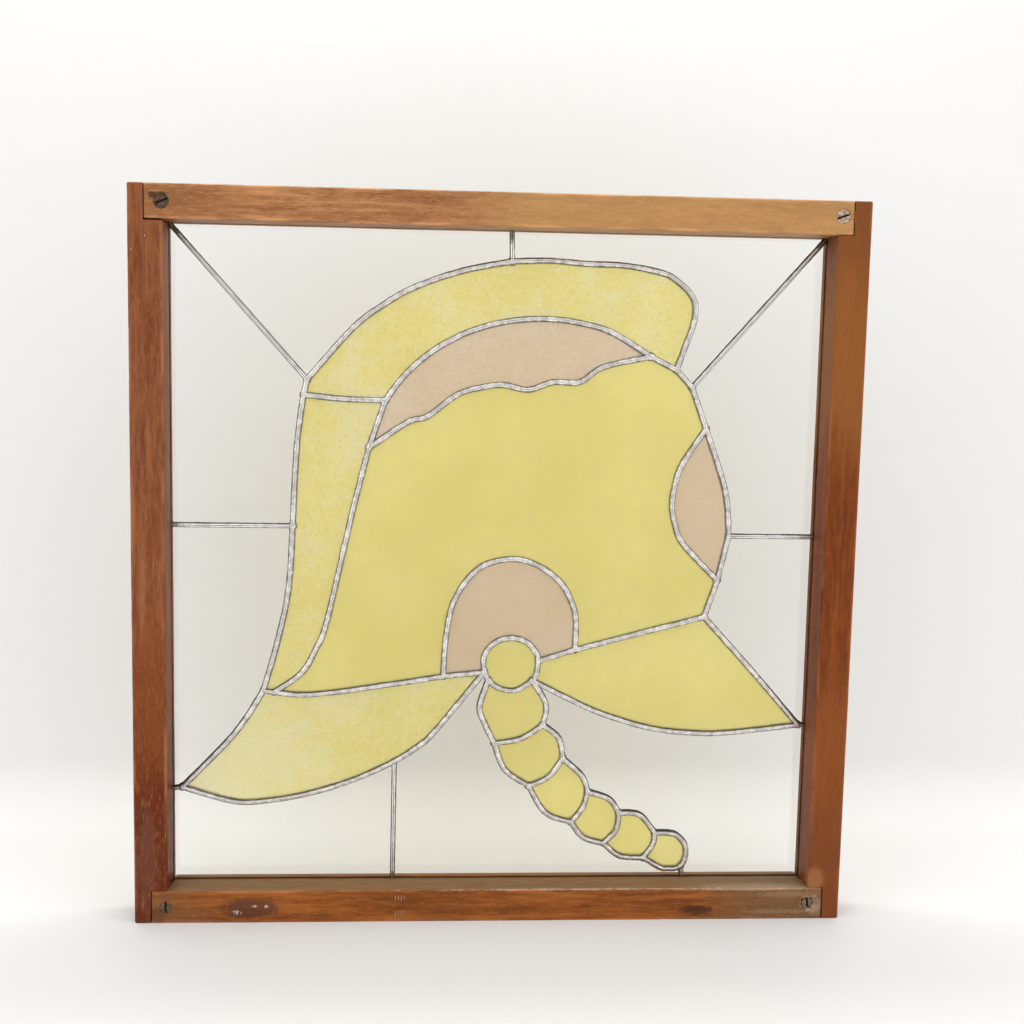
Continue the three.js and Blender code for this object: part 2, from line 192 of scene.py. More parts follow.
def stretched(tree, coords, scale, place=(0, 0, 0)):
    return add_node(tree, "ShaderNodeMapping", {"Vector": coords, "Scale": scale, "Location": place})


def spot(tree, coords, centre, radii, ragged=0.5, grain=400.0):
    """1 inside a ragged oval on a face, 0 outside it."""
    offset = vector_maths(tree, "SUBTRACT", coords, centre)
    shrunk = vector_maths(tree, "DIVIDE", offset, radii)
    reach = add_node(tree, "ShaderNodeVectorMath", {0: shrunk}, operation="LENGTH").outputs[1]
    edge = maths(tree, "MULTIPLY_ADD", noise_at(tree, coords, grain), ragged, -ragged / 2)
    return ramp(tree, maths(tree, "ADD", reach, edge), 1.2, 0.6)


def bump(tree, shader, height, distance, strength=1.0):
    node = add_node(tree, "ShaderNodeBump", {"Height": height, "Distance": distance, "Strength": strength})
    tree.links.new(node.outputs[0], shader.inputs["Normal"])


# Pieces


def finish_piece(piece, node_names, slot, *materials):
    """Puts a finished piece in the scene in place of its CAD nodes."""
    if piece.name not in bpy.context.scene.collection.objects:
        bpy.context.scene.collection.objects.link(piece)
    piece.data.materials.clear()
    for material in materials:
        piece.data.materials.append(material)
    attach(piece, "root")
    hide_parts(*node_names)


def merged_copy(node_name):
    """A CAD node's mesh with its loose triangles joined."""
    shape = bmesh.new()
    shape.from_mesh(nodes[node_name].data)
    bmesh.ops.remove_doubles(shape, verts=shape.verts, dist=1e-6)
    return shape


def plain_mesh(carrier, name):
    """The carrier's evaluated shape as a plain mesh object. The carrier is removed."""
    bpy.context.view_layer.update()
    evaluated = carrier.evaluated_get(bpy.context.evaluated_depsgraph_get())
    mesh = bpy.data.meshes.new_from_object(evaluated)
    mesh.name = name
    source = carrier.data
    bpy.data.objects.remove(carrier)
    bpy.data.meshes.remove(source)
    return bpy.data.objects.new(name, mesh)


def set_inputs(modifier, values):
    """Sets a Geometry Nodes modifier's inputs, which are known to it by identifier."""
    for item in modifier.node_group.interface.items_tree:
        if item.item_type == "SOCKET" and item.in_out == "INPUT" and item.name in values:
            modifier[item.identifier] = values[item.name]


def value_noise(points, cell, seed):
    """Smooth noise from 0 to 1 at each point, with features of about one cell."""
    scaled = points / cell
    corner = np.floor(scaled).astype(np.int64)
    inside = scaled - corner
    inside = inside * inside * (3 - 2 * inside)
    total = np.zeros(len(points))
    for step in np.ndindex(2, 2, 2):
        lattice = corner + np.array(step)
        key = lattice[:, 0] * 73856093 ^ lattice[:, 1] * 19349663 ^ lattice[:, 2] * 83492791 ^ seed * 2654435
        key = (key ^ (key >> 13)) * 1274126177
        value = ((key ^ (key >> 16)) & 0xFFFF) / 0xFFFF
        weight = np.prod(np.where(np.array(step) == 1, inside, 1 - inside), axis=1)
        total += weight * value
    return total


# Soldered seams


def seam_runs():
    """The lines that the CAD beads' ridges follow, from one joint to the next."""
    shape = merged_copy("solder_lattice")
    on_ridge = min(vert.co.y for vert in shape.verts) + 0.01 * MM
    ridge = [v for v in shape.verts if v.co.y < on_ridge]
    near = {v: [e.other_vert(v) for e in v.link_edges if e.other_vert(v).co.y < on_ridge] for v in ridge}
    runs = []
    used = set()
    ends = [v for v in ridge if len(near[v]) != 2]
    for start in ends:
        for follower in near[start]:
            if (start, follower) in used:
                continue
            run = [start, follower]
            used.add((start, follower))
            while len(near[run[-1]]) == 2:
                run.append(next(v for v in near[run[-1]] if v is not run[-2]))
            used.add((run[-1], run[-2]))
            runs.append([v.co.copy() for v in run])
    joints = [(v.co.copy(), len(near[v])) for v in ends if len(near[v]) > 2]
    shape.free()
    return runs, joints


def reaches_frame(point):
    gap = 1.5 * MM
    beside = point.x < SIGHT_LEFT + gap or point.x > SIGHT_RIGHT - gap
    return beside or point.z < SIGHT_BOTTOM + gap or point.z > SIGHT_TOP - gap


def seam_carrier(runs, joints, sizes, spread):
    """A mesh of edges along the seams, with loose points at the joints."""
    points, edges, half_widths, is_joint = [], [], [], []
    for run in runs:
        straight = reaches_frame(run[0]) or reaches_frame(run[-1])
        width = sizes.straight_seam_width if straight else sizes.seam_width
        for i, point in enumerate(run):
            if i:
                edges.append((len(points) - 1, len(points)))
            points.append((point.x, 0, point.z))
            half_widths.append(spread * width / 2)
            is_joint.append(0.0)
    for point, meeting in joints:
        points.append((point.x, 0, point.z))
        half_widths.append(spread * sizes.seam_width / 2 * (0.85 + 0.14 * meeting))
        is_joint.append(1.0)
    mesh = bpy.data.meshes.new("seam_lines")
    mesh.from_pydata(points, edges, [])
    for name, values in (("half_width", half_widths), ("is_joint", is_joint)):
        mesh.attributes.new(name, "FLOAT", "POINT").data.foreach_set("value", values)
    carrier = bpy.data.objects.new("seam_lines", mesh)
    bpy.context.scene.collection.objects.link(carrier)
    return carrier


def bead_tree(material):
    """Geometry Nodes that lay a rippled half-round bead along each line and a blob on each joint."""
    tree = bpy.data.node_groups.new("Soldered bead", "GeometryNodeTree")
    interface = tree.interface
    interface.new_socket("Lines", in_out="INPUT", socket_type="NodeSocketGeometry")
    for name in ("Step", "Swell", "Ripple", "Rise", "Surface", "Web Depth", "Web Half Width"):
        interface.new_socket(name, in_out="INPUT", socket_type="NodeSocketFloat")
    for name in ("Side", "Sides", "Seed"):
        interface.new_socket(name, in_out="INPUT", socket_type="NodeSocketInt")
    interface.new_socket("Beads", in_out="OUTPUT", socket_type="NodeSocketGeometry")
    given = tree.nodes.new("NodeGroupInput").outputs

    def named(name):
        return add_node(tree, "GeometryNodeInputNamedAttribute", {"Name": name}, data_type="FLOAT").outputs[0]

    position = add_node(tree, "GeometryNodeInputPosition")
    shift = add_node(tree, "ShaderNodeCombineXYZ", {"Y": given["Seed"]})
    seeded = vector_maths(tree, "ADD", position, shift)

    # Smooth lines through the ridge points, with a width that wanders
    curves = add_node(tree, "GeometryNodeMeshToCurve", {"Mesh": given["Lines"]})
    smooth = add_node(tree, "GeometryNodeCurveSplineType", {"Curve": curves}, spline_type="CATMULL_ROM")
    rings = add_node(tree, "GeometryNodeResampleCurve",
                     {"Curve": smooth, "Length": given["Step"]}, mode="LENGTH")
    slow = noise_at(tree, seeded, 90.0, 2.0)
    quick = noise_at(tree, seeded, 320.0, 1.0)
    wander = maths(tree, "ADD", maths(tree, "MULTIPLY_ADD", slow, 2.0, -1.0),
                   maths(tree, "MULTIPLY_ADD", quick, 1.0, -0.5))
    factor = maths(tree, "MULTIPLY_ADD", wander, given["Swell"], 1.0)
    radius = maths(tree, "MULTIPLY", named("half_width"), factor)
    profile = add_node(tree, "GeometryNodeCurvePrimitiveCircle",
                       {"Resolution": given["Sides"], "Radius": 1.0})
    tubes = add_node(tree, "GeometryNodeCurveToMesh",
                     {"Curve": rings, "Profile Curve": profile, "Fill Caps": True, "Scale": radius})

    # A blob where seams meet
    is_joint = maths(tree, "GREATER_THAN", named("is_joint"), 0.5)
    joints = add_node(tree, "GeometryNodeMeshToPoints", {"Mesh": given["Lines"], "Selection": is_joint})
    ball = add_node(tree, "GeometryNodeMeshIcoSphere", {"Radius": 1.0, "Subdivisions": 3})
    size = add_node(tree, "FunctionNodeRandomValue",
                    {2: 0.95, 3: 1.2, "Seed": given["Seed"]}, data_type="FLOAT")
    blob_radius = maths(tree, "MULTIPLY", named("half_width"), size.outputs[1])
    low_blob = add_node(tree, "ShaderNodeCombineXYZ",
                        {"X": blob_radius, "Y": maths(tree, "MULTIPLY", blob_radius, 0.72), "Z": blob_radius})
    blobs = add_node(tree, "GeometryNodeInstanceOnPoints",
                     {"Points": joints, "Instance": ball, "Scale": low_blob})
    solid_blobs = add_node(tree, "GeometryNodeRealizeInstances", {"Geometry": blobs})
    both = add_node(tree, "GeometryNodeJoinGeometry")
    tree.links.new(tubes.outputs[0], both.inputs[0])
    tree.links.new(solid_blobs.outputs[0], both.inputs[0])

    # Ripples in the round shape, then the half towards the glass pressed flat on it
    normal = add_node(tree, "GeometryNodeInputNormal")
    ripple = maths(tree, "MULTIPLY_ADD", noise_at(tree, seeded, 430.0, 2.0, 0.6), 2.0, -1.0)
    depth = maths(tree, "MULTIPLY", ripple, given["Ripple"])
    push = add_node(tree, "ShaderNodeVectorMath", {0: normal, "Scale": depth}, operation="SCALE")
    rippled = add_node(tree, "GeometryNodeSetPosition", {"Geometry": both, "Offset": push})
    parts = add_node(tree, "ShaderNodeSeparateXYZ", {0: position})
    outward = maths(tree, "MULTIPLY", parts.outputs["Y"], given["Side"])
    above = maths(tree, "MAXIMUM", outward, 0.0)
    rise = maths(tree, "MULTIPLY", above, given["Rise"])
    lift = maths(tree, "MULTIPLY", rise, given["Side"])
    pressed_y = maths(tree, "ADD", lift, given["Surface"])
    pressed = add_node(tree, "ShaderNodeCombineXYZ",
                       {"X": parts.outputs["X"], "Y": pressed_y, "Z": parts.outputs["Z"]})
    # How high a point stands on the bead, which the solder's painted highlight and painted shade follow
    ridge = ramp(tree, maths(tree, "DIVIDE", above, named("half_width")), 0.2, 0.72)
    marked = add_node(tree, "GeometryNodeStoreNamedAttribute",
                      {"Geometry": rippled, "Name": "crown", "Value": ridge},
                      data_type="FLOAT", domain="POINT")
    beads = add_node(tree, "GeometryNodeSetPosition", {"Geometry": marked, "Position": pressed})

    # The thin web between the glass edges, from this face to the middle of the glass
    strip = add_node(tree, "GeometryNodeCurvePrimitiveCircle", {"Resolution": 6, "Radius": 1.0})
    web = add_node(tree, "GeometryNodeCurveToMesh", {
        "Curve": rings, "Profile Curve": strip, "Fill Caps": True, "Scale": given["Web Half Width"]})
    web_parts = add_node(tree, "ShaderNodeSeparateXYZ", {0: position})
    deeper = maths(tree, "MULTIPLY_ADD", web_parts.outputs["Y"], given["Web Depth"], given["Surface"])
    web_place = add_node(tree, "ShaderNodeCombineXYZ",
                         {"X": web_parts.outputs["X"], "Y": deeper, "Z": web_parts.outputs["Z"]})
    placed_web = add_node(tree, "GeometryNodeSetPosition", {"Geometry": web, "Position": web_place})

    whole = add_node(tree, "GeometryNodeJoinGeometry")
    tree.links.new(beads.outputs[0], whole.inputs[0])
    tree.links.new(placed_web.outputs[0], whole.inputs[0])
    real = add_node(tree, "GeometryNodeRealizeInstances", {"Geometry": whole})
    smoothed = add_node(tree, "GeometryNodeSetShadeSmooth", {"Geometry": real})
    painted = add_node(tree, "GeometryNodeSetMaterial", {"Geometry": smoothed, "Material": material})
    last = tree.nodes.new("NodeGroupOutput")
    tree.links.new(painted.outputs[0], last.inputs[0])
    return tree


def solder_material(colour):
    """Bright mottled solder with a painted highlight on the crest of each bead, painted shade at its foot, on
    the sides of the straight seams and where the seams meet the frame, and darker upper sides low down.
    """
    material, tree, shader, coords = start_material("bright_solder")
    crown = add_node(tree, "ShaderNodeAttribute", attribute_name="crown").outputs["Fac"]
    blotch = noise_at(tree, coords, 260.0, 3.0, 0.6)
    fleck = noise_at(tree, coords, 900.0, 2.0, 0.6)
    duller = tuple(c * f for c, f in zip(colour, (0.47, 0.445, 0.43)))
    dull = blended(tree, ramp(tree, blotch, 0.4, 0.62), duller, colour)
    flecked = blended(tree, ramp(tree, fleck, 0.6, 0.75), dull, (0.93, 0.91, 0.89))
    normal = add_node(tree, "ShaderNodeNewGeometry").outputs["Normal"]
    facing = add_node(tree, "ShaderNodeSeparateXYZ", {0: normal}).outputs
    place = add_node(tree, "ShaderNodeSeparateXYZ", {0: coords}).outputs
    half_width = add_node(tree, "ShaderNodeAttribute", attribute_name="half_width").outputs["Fac"]
    straight = ramp(tree, half_width, 1.92 * MM, 1.84 * MM)
    outward = maths(tree, "ABSOLUTE", facing["Y"])
    # A painted highlight on the crest of each bead, where it faces straight out, stronger on the straight
    # seams
    bright = maths(tree, "MULTIPLY_ADD", straight, 0.55, 0.42)
    painted_highlight = maths(tree, "MULTIPLY", ramp(tree, outward, 0.86, 0.97), bright)
    flecked = blended(tree, painted_highlight, flecked, (0.98, 0.965, 0.94))

    # Darker on the upper sides low down and in patches, and painted shade on the sloping sides of the
    # straight seams
    patchy = ramp(tree, noise_at(tree, coords, 24.0, 1.0), 0.5, 0.62, 0.0, 0.6)
    low_down = ramp(tree, place["Z"], 0.2, 0.16, 0.0, 0.9)
    upper_dark_reach = maths(tree, "MAXIMUM", patchy, low_down)
    upper = maths(tree, "MULTIPLY", ramp(tree, facing["Z"], 0.3, 0.7), upper_dark_reach)
    sides = maths(tree, "MULTIPLY", ramp(tree, outward, 0.86, 0.6), maths(tree, "MULTIPLY", straight, 0.65))
    flecked = blended(tree, maths(tree, "MAXIMUM", upper, sides), flecked, (0.1, 0.075, 0.055))

    # Painted shade on the seams next to the frame, reaching farther below the top rail
    meeting = 5 * MM
    ends = maths(tree, "MAXIMUM", ramp(tree, place["X"], SIGHT_LEFT + meeting, SIGHT_LEFT),
                 ramp(tree, place["X"], SIGHT_RIGHT - meeting, SIGHT_RIGHT))
    ends = maths(tree, "MAXIMUM", ends, ramp(tree, place["Z"], SIGHT_TOP - 2 * meeting, SIGHT_TOP - meeting))
    ends = maths(tree, "MAXIMUM", ends, ramp(tree, place["Z"], SIGHT_BOTTOM + meeting, SIGHT_BOTTOM))
    flecked = blended(tree, maths(tree, "MULTIPLY", ends, 0.7), flecked, (0.13, 0.1, 0.075))
    # Dark at the foot of each bead and on the web: painted shade and reflection where the bead meets the
    # glass, and patina on the foil
    edge = blended(tree, crown, (0.07, 0.06, 0.05), flecked)
    tree.links.new(edge, shader.inputs["Base Color"])
    shader.inputs["Metallic"].default_value = 1.0
    tree.links.new(ramp(tree, blotch, 0.3, 0.7, 0.42, 0.2).outputs[0], shader.inputs["Roughness"])
    bump(tree, shader, maths(tree, "ADD", blotch, maths(tree, "MULTIPLY", fleck, 0.4)), 0.5 * MM, 0.7)
    return material


class SolderSeams(bpy.types.Operator):
    """Lays the soldered beads along the seams, on the front and on the back"""

    bl_idname = "stained_window.solder_seams"
    bl_label = "Soldered Seams"

    def execute(self, context):
        sizes = context.scene.window_sizes
        material = solder_material(tuple(context.scene.window_colours.solder))
        runs, joints = seam_runs()
        tree = bead_tree(material)
        glass = GLASS_BACK - GLASS_FRONT
        lift = 0.02 * MM
        for name, side, surface, rise, sides, spread in (
            ("solder_front", -1, GLASS_FRONT - lift, 0.7, 16, 1.0),
            ("solder_back", 1, GLASS_BACK + lift, 0.5, 12, 1.14),
        ):
            carrier = seam_carrier(runs, joints, sizes, spread)
            modifier = carrier.modifiers.new("Beads", "NODES")
            modifier.node_group = tree
            set_inputs(modifier, {
                "Step": sizes.seam_step if side < 0 else sizes.seam_step * 1.4,
                "Swell": sizes.seam_swell, "Ripple": sizes.hammer_depth, "Rise": rise, "Surface": surface,
                "Web Depth": glass / 2 / WEB_HALF_WIDTH, "Web Half Width": WEB_HALF_WIDTH,
                "Side": side, "Sides": sides, "Seed": 3 + side,
            })
            piece = plain_mesh(carrier, name)
            finish_piece(piece, ["solder_lattice"], "solder", material)
        return {"FINISHED"}


# Glass


def clear_glass(colour):
    """Clear polished glass, by plain values on the shader."""
    material, _, shader, _ = start_material("clear_glass")
    shader.inputs["Base Color"].default_value = (*colour, 1.0)
    shader.inputs["Transmission Weight"].default_value = 1.0
    shader.inputs["Roughness"].default_value = 0.0
    shader.inputs["IOR"].default_value = 1.5
    return material


def coloured_glass(name, colour, texture, haze, pale_end=None):
    """Cathedral glass. Texture is how strongly its surface is seeded and crackled."""
    material, tree, shader, coords = start_material(name)
    cloud = noise_at(tree, coords, 14.0, 2.0)
    mottle = noise_at(tree, coords, 110.0, 4.0, 0.6)
    streak = noise_at(tree, stretched(tree, coords, (70, 70, 260)), 1.0, 2.0)
    speck = noise_at(tree, coords, 420.0, 3.0, 0.65)
    darker = tuple(c * f for c, f in zip(colour, (0.955, 0.94, 0.85)))
    shade = blended(tree, ramp(tree, cloud, 0.36, 0.62), darker, colour)
    mottled = blended(tree, ramp(tree, mottle, 0.4, 0.65, 0.0, 0.5), shade, tuple(c * 0.93 for c in colour))
    paler = tuple(c + (1 - c) * 0.5 for c in colour)
    deeper = tuple(c * f for c, f in zip(colour, (0.87, 0.85, 0.7)))
    streaks = ramp(tree, streak, 0.66 - 0.1 * texture, 0.74, 0.0, 0.25 + 0.3 * texture)
    streaked = blended(tree, streaks, mottled, paler)
    veil = noise_at(tree, coords, 26.0, 2.0, 0.5, 0.6)
    streaked = blended(tree, ramp(tree, veil, 0.5, 0.7, 0.0, 0.5 * texture), streaked, paler)
    seeded = blended(tree, ramp(tree, speck, 0.47, 0.34, 0.0, 0.9 * texture), streaked, deeper)
    pale = blended(tree, ramp(tree, speck, 0.53, 0.66, 0.0, texture), seeded, paler)
    if pale_end:
        x = add_node(tree, "ShaderNodeSeparateXYZ", {0: coords}).outputs["X"]
        pale = blended(tree, ramp(tree, x, *pale_end, 0.0, 0.55), pale, paler)
    tree.links.new(pale, shader.inputs["Base Color"])
    shader.inputs["Transmission Weight"].default_value = haze
    shader.inputs["Roughness"].default_value = 0.28
    shader.inputs["IOR"].default_value = 1.45
    relief = maths(tree, "MULTIPLY_ADD", speck, texture, maths(tree, "MULTIPLY", mottle, 0.6))
    bump(tree, shader, relief, 0.6 * MM, 0.15 + 0.35 * texture)
    return material


class GlassPieces(bpy.types.Operator):
    """Gives every cut piece of glass its own kind of glass"""

    bl_idname = "stained_window.glass_pieces"
    bl_label = "Glass Pieces"

    def execute(self, context):
        colours = context.scene.window_colours
        clear = clear_glass(tuple(colours.clear))
        seeded = coloured_glass("seeded_yellow_glass", tuple(colours.yellow), 0.9, 0.7)
        smooth = coloured_glass("smooth_yellow_glass", tuple(colours.yellow), 0.12, 0.7)
        flecked = coloured_glass("flecked_pink_glass", tuple(colours.pink), 0.5, 0.7)
        pink = coloured_glass("smooth_pink_glass", tuple(colours.pink), 0.08, 0.7)
        fading = coloured_glass("fading_yellow_glass", tuple(colours.yellow), 0.9, 0.7, (-0.09, -0.21))
        kinds = {"glass_comb": seeded, "glass_back_strip": seeded, "glass_neck_guard": fading,
                 "glass_crest": flecked, "glass_crescent": pink, "glass_arch": pink}
        for name, node in nodes.items():
            if name.startswith("glass_clear"):
                node.material_slots[0].material = clear
            elif name.startswith("glass_"):
                node.material_slots[0].material = kinds.get(name, smooth)
        return {"FINISHED"}


# Timber


def timber_material(name, light, dark, upright, seed, washes, marks):
    """Old varnished hardwood with its grain along the member.

    A wash is (start, end, colour, strength) along the member. A mark is an oval on its face:
    (centre, radii, raggedness, fineness, colour, strength).
    """
    material, tree, shader, coords = start_material(name)

    def along(across, lengthwise):
        scale = (across, across, lengthwise) if upright else (lengthwise, across, across)
        return stretched(tree, coords, scale, (seed, seed * 0.7, seed * 1.3))

    figure = noise_at(tree, along(60, 6), 1.0, 3.0, 0.5, 0.5)
    ribbon = noise_at(tree, along(420, 60), 1.0, 3.0, 0.55, 0.3)
    fibre = noise_at(tree, along(900, 90), 1.0, 3.0, 0.6)
    pores = noise_at(tree, along(1500, 150), 1.0, 2.0, 0.5)
    cloud = noise_at(tree, along(20, 8), 1.0, 2.0, 0.5, 0.4)
    grain = maths(tree, "ADD", maths(tree, "MULTIPLY", figure, 0.35), maths(tree, "MULTIPLY", ribbon, 0.65))
    tone = blended(tree, ramp(tree, grain, 0.32, 0.66), dark, light)
    golden = tuple(min(1.0, c * f) for c, f in zip(light, (1.45, 1.6, 1.7)))
    bands = noise_at(tree, along(190, 11), 1.0, 3.0, 0.5, 0.4)
    tone = blended(tree, ramp(tree, bands, 0.5, 0.68, 0.0, 0.45), tone, golden)
    tone = blended(tree, ramp(tree, bands, 0.46, 0.32, 0.0, 0.55), tone, tuple(c * 0.75 for c in dark))
    tone = blended(tree, ramp(tree, cloud, 0.5, 0.75, 0.0, 0.45), tone, tuple(c * 0.85 for c in dark))
    tone = blended(tree, ramp(tree, pores, 0.62, 0.74, 0.0, 0.5), tone, tuple(c * 0.4 for c in dark))
    reach = add_node(tree, "ShaderNodeSeparateXYZ", {0: coords}).outputs["Z" if upright else "X"]
    for start, end, colour, strength in washes:
        ragged_reach = maths(tree, "MULTIPLY_ADD", cloud, 0.12, reach)
        wash = ramp(tree, ragged_reach, start + 0.06, end + 0.06, 0.0, strength)
        tone = blended(tree, wash, tone, blended(tree, grain, tuple(c * 0.7 for c in colour), colour))
    dashes = noise_at(tree, along(1300, 190), 1.0, 2.0, 0.5, 0.2)
    tone = blended(tree, ramp(tree, fibre, 0.56, 0.72, 0.0, 0.35), tone, golden)
    tone = blended(tree, ramp(tree, dashes, 0.57, 0.68, 0.0, 0.4), tone, golden)
    # Lighter edges in patches: wear on the arrises, and a painted highlight along them
    worn = add_node(tree, "ShaderNodeAttribute", attribute_name="arris").outputs["Fac"]
    patches = ramp(tree, noise_at(tree, along(120, 30), 1.0), 0.4, 0.65, 0.0, 0.8)
    edge_wear_and_highlight = maths(tree, "MULTIPLY", worn, patches)
    tone = blended(tree, edge_wear_and_highlight, tone, tuple(min(1.0, c * 1.9 + 0.03) for c in light))
    # Dust on the upward faces, partly a painted sheen where those faces catch the light
    dust_and_sheen = add_node(tree, "ShaderNodeAttribute", attribute_name="dust_and_sheen").outputs["Fac"]
    settled_dust_and_sheen = maths(tree, "MULTIPLY", dust_and_sheen, ramp(tree, ribbon, 0.3, 0.7, 0.5, 0.95))
    tone = blended(tree, settled_dust_and_sheen, tone, (0.27, 0.168, 0.072))
    # Painted shade on the wood where the glass goes into it
    shade_at_glass = add_node(tree, "ShaderNodeAttribute", attribute_name="shade_at_glass").outputs["Fac"]
    tone = blended(tree, maths(tree, "MULTIPLY", shade_at_glass, 0.8), tone, (0.018, 0.009, 0.006))
    for centre, radii, ragged, fineness, colour, strength in marks:
        mark = spot(tree, coords, centre, radii, ragged, fineness)
        tone = blended(tree, maths(tree, "MULTIPLY", mark, strength), tone, colour)
    tree.links.new(tone, shader.inputs["Base Color"])
    tree.links.new(ramp(tree, fibre, 0.3, 0.7, 0.5, 0.36).outputs[0], shader.inputs["Roughness"])
    shader.inputs["Specular IOR Level"].default_value = 0.12
    height = maths(tree, "SUBTRACT", fibre, maths(tree, "MULTIPLY", ramp(tree, pores, 0.58, 0.7), 0.8))
    bump(tree, shader, height, 0.25 * MM, 0.5)
    return material


def close_up(places, screw):
    """Draws the wood round a screw hole in to the head, which fits it closely."""
    centre, head = screw["centre"], screw["head"]
    offset = places[:, [0, 2]] - (centre.x, centre.z)
    flat = np.hypot(offset[:, 0], offset[:, 1])
    face = (places[:, 1] < FRONT + 0.2 * MM) & (flat < head)
    if not face.any():
        return
    rim = flat[face].min()
    pull = (rim - head / 2 - 0.05 * MM) * np.clip(1 - (flat - rim) / (1.0 * MM), 0, 1)
    kept = 1 - pull / np.maximum(flat, 0.5 * MM)
    places[:, 0] = centre.x + offset[:, 0] * kept
    places[:, 2] = centre.z + offset[:, 1] * kept


def worn_timber(node_name, piece_name, upright, sizes, seed):
    """The CAD member on a fine grid, with small knocks and slight unevenness, and marks for wear with a
    painted highlight on its edges, dust with a painted sheen on its upward faces and painted shade where the
    glass meets it.
    """
    shape = merged_copy(node_name)
    mesh = bpy.data.meshes.new(piece_name)
    shape.to_mesh(mesh)
    shape.free()
    carrier = bpy.data.objects.new(piece_name, mesh)
    bpy.context.scene.collection.objects.link(carrier)
    grid = carrier.modifiers.new("Grid", "REMESH")
    grid.mode = "SHARP"
    grid.octree_depth = sizes.timber_depth
    grid.scale = 0.99
    grid.sharpness = 1.0
    piece = plain_mesh(carrier, piece_name)
    mesh = piece.data
    count = len(mesh.vertices)
    places = np.empty(count * 3)
    mesh.vertices.foreach_get("co", places)
    places = places.reshape(-1, 3)
    normals = np.empty(count * 3, dtype=np.float32)
    mesh.vertex_normals.foreach_get("vector", normals)
    normals = normals.reshape(-1, 3).astype(float)
    low, high = (np.array(corner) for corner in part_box(node_name))
    to_face = np.minimum(places - low, high - places)
    across = to_face[:, [0, 1]] if upright else to_face[:, [1, 2]]
    farther = across.max(axis=1)
    arris = np.clip(1 - farther / (2.2 * MM), 0, 1)
    stretch = np.array([1, 1, 0.25]) if upright else np.array([0.25, 1, 1])
    unevenness = value_noise(places * stretch, 9 * MM, seed) * 0.16 * MM
    knocks = np.clip(value_noise(places, 4 * MM, seed + 1) - 0.66, 0, 1) / 0.34
    knocks *= np.clip(value_noise(places, 30 * MM, seed + 2) - 0.35, 0, 1)
    for screw in screw_places():
        close_up(places, screw)
    inward = unevenness + arris * knocks * sizes.dent_depth
    shade_at_glass = np.zeros(count)
    for screw in screw_places():
        centre, head = screw["centre"], screw["head"]
        flat = np.hypot(places[:, 0] - centre.x, places[:, 2] - centre.z)
        in_front = places[:, 1] < FRONT + 3 * MM
        ring = np.clip(1 - (flat - head / 2) / (screw["crater"]), 0, 1) * in_front
        ragged = value_noise(places, 1.6 * MM, seed + 5)
        inward += ring * ring * (0.35 + ragged) * screw["crater_depth"]
    # Painted shade on the wood next to the glass
    at_glass = np.abs(places[:, 1] - (GLASS_FRONT - 0.4 * MM))
    shade_at_glass = np.maximum(shade_at_glass, np.clip(1 - at_glass / (1.3 * MM), 0, 1) * (to_face.min(axis=1) < 0.4 * MM))
    places -= normals * inward[:, None]
    mesh.vertices.foreach_set("co", np.clip(places, low, high).ravel())
    # Upward faces, which take dust and a painted sheen
    dust_and_sheen = np.clip((normals[:, 2] - 0.8) / 0.2, 0, 1)
    for name, values in (("arris", arris), ("shade_at_glass", shade_at_glass), ("dust_and_sheen", dust_and_sheen)):
        mesh.attributes.new(name, "FLOAT", "POINT").data.foreach_set("value", values)
    mesh.update()
    return piece


